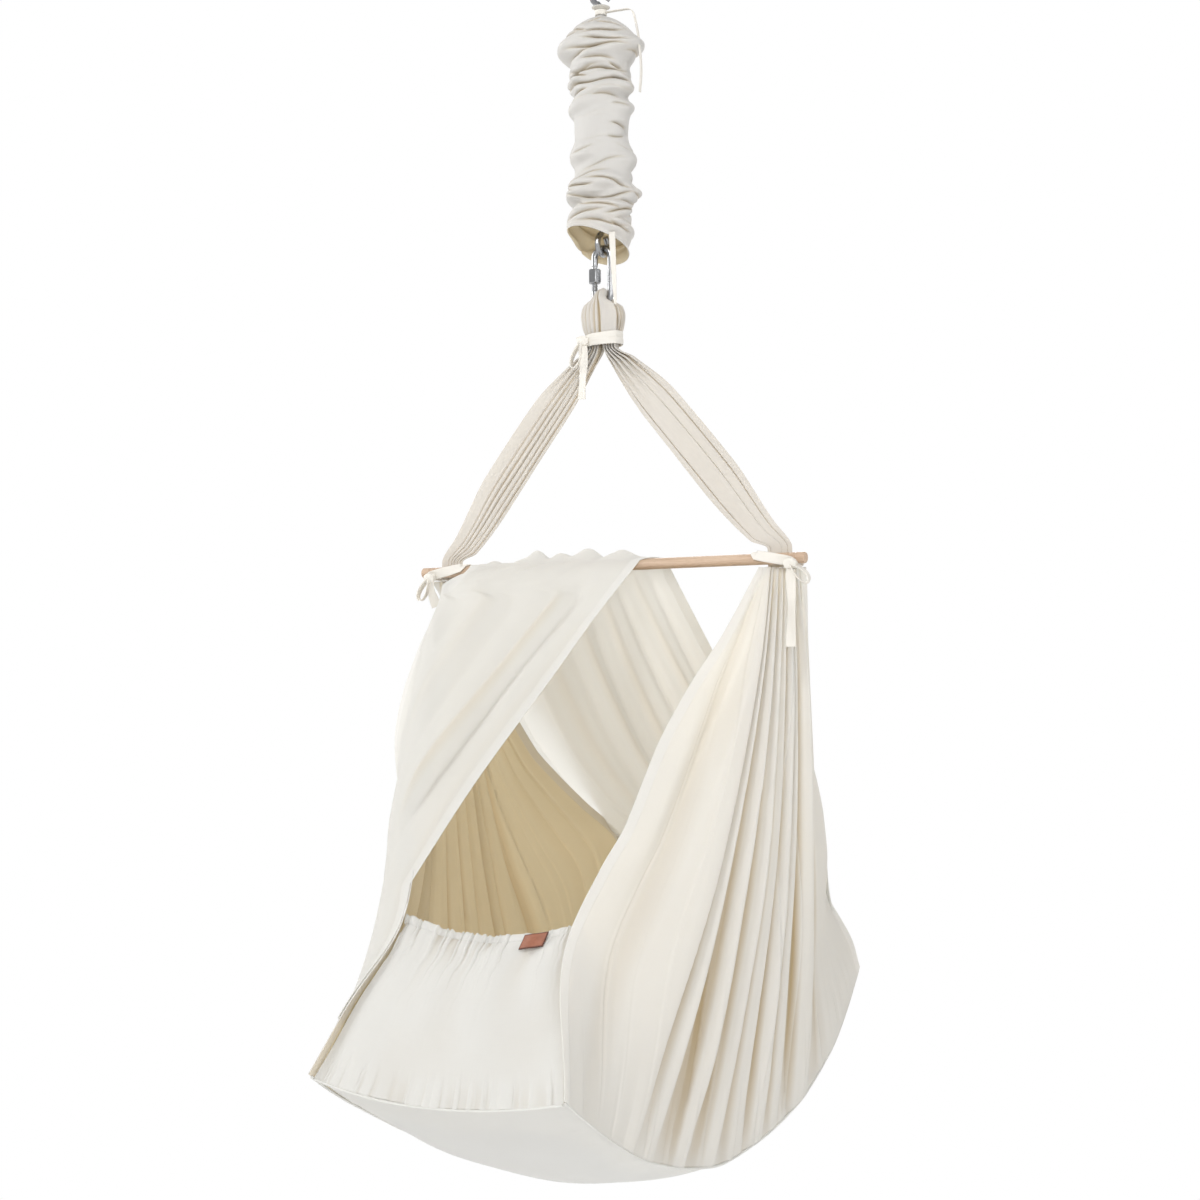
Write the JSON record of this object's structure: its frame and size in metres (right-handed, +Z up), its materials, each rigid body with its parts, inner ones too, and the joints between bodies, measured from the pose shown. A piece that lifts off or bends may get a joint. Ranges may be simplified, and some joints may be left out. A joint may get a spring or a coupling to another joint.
{
  "type": "hanging baby cradle",
  "caption": "Cloth baby cradle on a spreader bar, hung by tied straps from a screw link and a sleeved spring, with a sheer canopy over one side.",
  "frame": {"origin": "bearing point of the upper hook's eye, where the ceiling hook carries it", "axes": "+Z up; +X along the spreader bar towards the side without the canopy; +Y towards the rear panel, so the panel with the label faces -Y"},
  "size_m": [0.5269, 0.7703, 1.4252],
  "materials": {
    "cotton": "undyed woven cotton, matte",
    "sheer_cotton": "thin undyed muslin, lets light through",
    "cotton_tape": "woven cotton tape",
    "elastic_casing": "gathered cotton over elastic",
    "mattress_cover": "plain cotton cover over a soft core",
    "beech": "bare turned beech, fine grain",
    "zinc_steel": "zinc-plated, semi-bright",
    "spring_steel": "drawn spring wire",
    "label_leather": "vegetable-tanned, bare"
  },
  "bodies": {
    "hanger": {"upper_hook": "zinc_steel", "upper_plug": "zinc_steel", "spring": "spring_steel", "spring_sleeve": "cotton", "sleeve_top_tape": "cotton_tape"},
    "spring_foot": {"lower_plug": "zinc_steel", "sleeve_low_tape": "cotton_tape"},
    "swivel": {"lower_hook": "zinc_steel"},
    "link": {"quick_link": "zinc_steel"},
    "nut": {"link_nut": "zinc_steel"},
    "cradle": {"sling_loop": "cotton", "neck_tie": "cotton_tape", "neck_bow": "cotton_tape", "left_strap": "cotton", "right_strap": "cotton", "spreader_bar": "beech", "left_bar_tie": "cotton_tape", "left_bar_bow": "cotton_tape", "right_bar_tie": "cotton_tape", "right_bar_bow": "cotton_tape", "left_wall": "cotton", "right_wall": "cotton", "front_panel": "cotton", "front_elastic": "elastic_casing", "label": "label_leather", "rear_panel": "cotton", "rear_elastic": "elastic_casing", "base_cloth": "cotton", "canopy": "sheer_cotton"},
    "pad": {"mattress": "mattress_cover"}
  },
  "joints": [
    {"name": "spring_travel", "type": "slide", "parent": "hanger", "child": "spring_foot", "axis": [0, 0, -1], "range_m": [0, 0.16], "stiffness_N_per_m": 480, "springref_m": -0.07, "deforming": ["spring", "spring_sleeve"]},
    {"name": "hook_swivel", "type": "hinge", "parent": "spring_foot", "child": "swivel", "pos_m": [0, 0, -0.3], "axis": [0, 0, 1], "continuous": true},
    {"name": "link_swing", "type": "hinge", "parent": "swivel", "child": "link", "pos_m": [0, 0, -0.3269], "axis": [0, 1, 0], "range_deg": [-15, 15]},
    {"name": "nut_travel", "type": "slide", "parent": "link", "child": "nut", "axis": [0, 0, -1], "range_m": [0, 0.006]},
    {"name": "cradle_rock", "type": "hinge", "parent": "link", "child": "cradle", "pos_m": [0, 0, -0.3851], "axis": [1, 0, 0], "range_deg": [-10, 10]},
    {"name": "pad_lift", "type": "slide", "parent": "cradle", "child": "pad", "axis": [0, 0, 1], "range_m": [0, 0.02]}
  ]
}
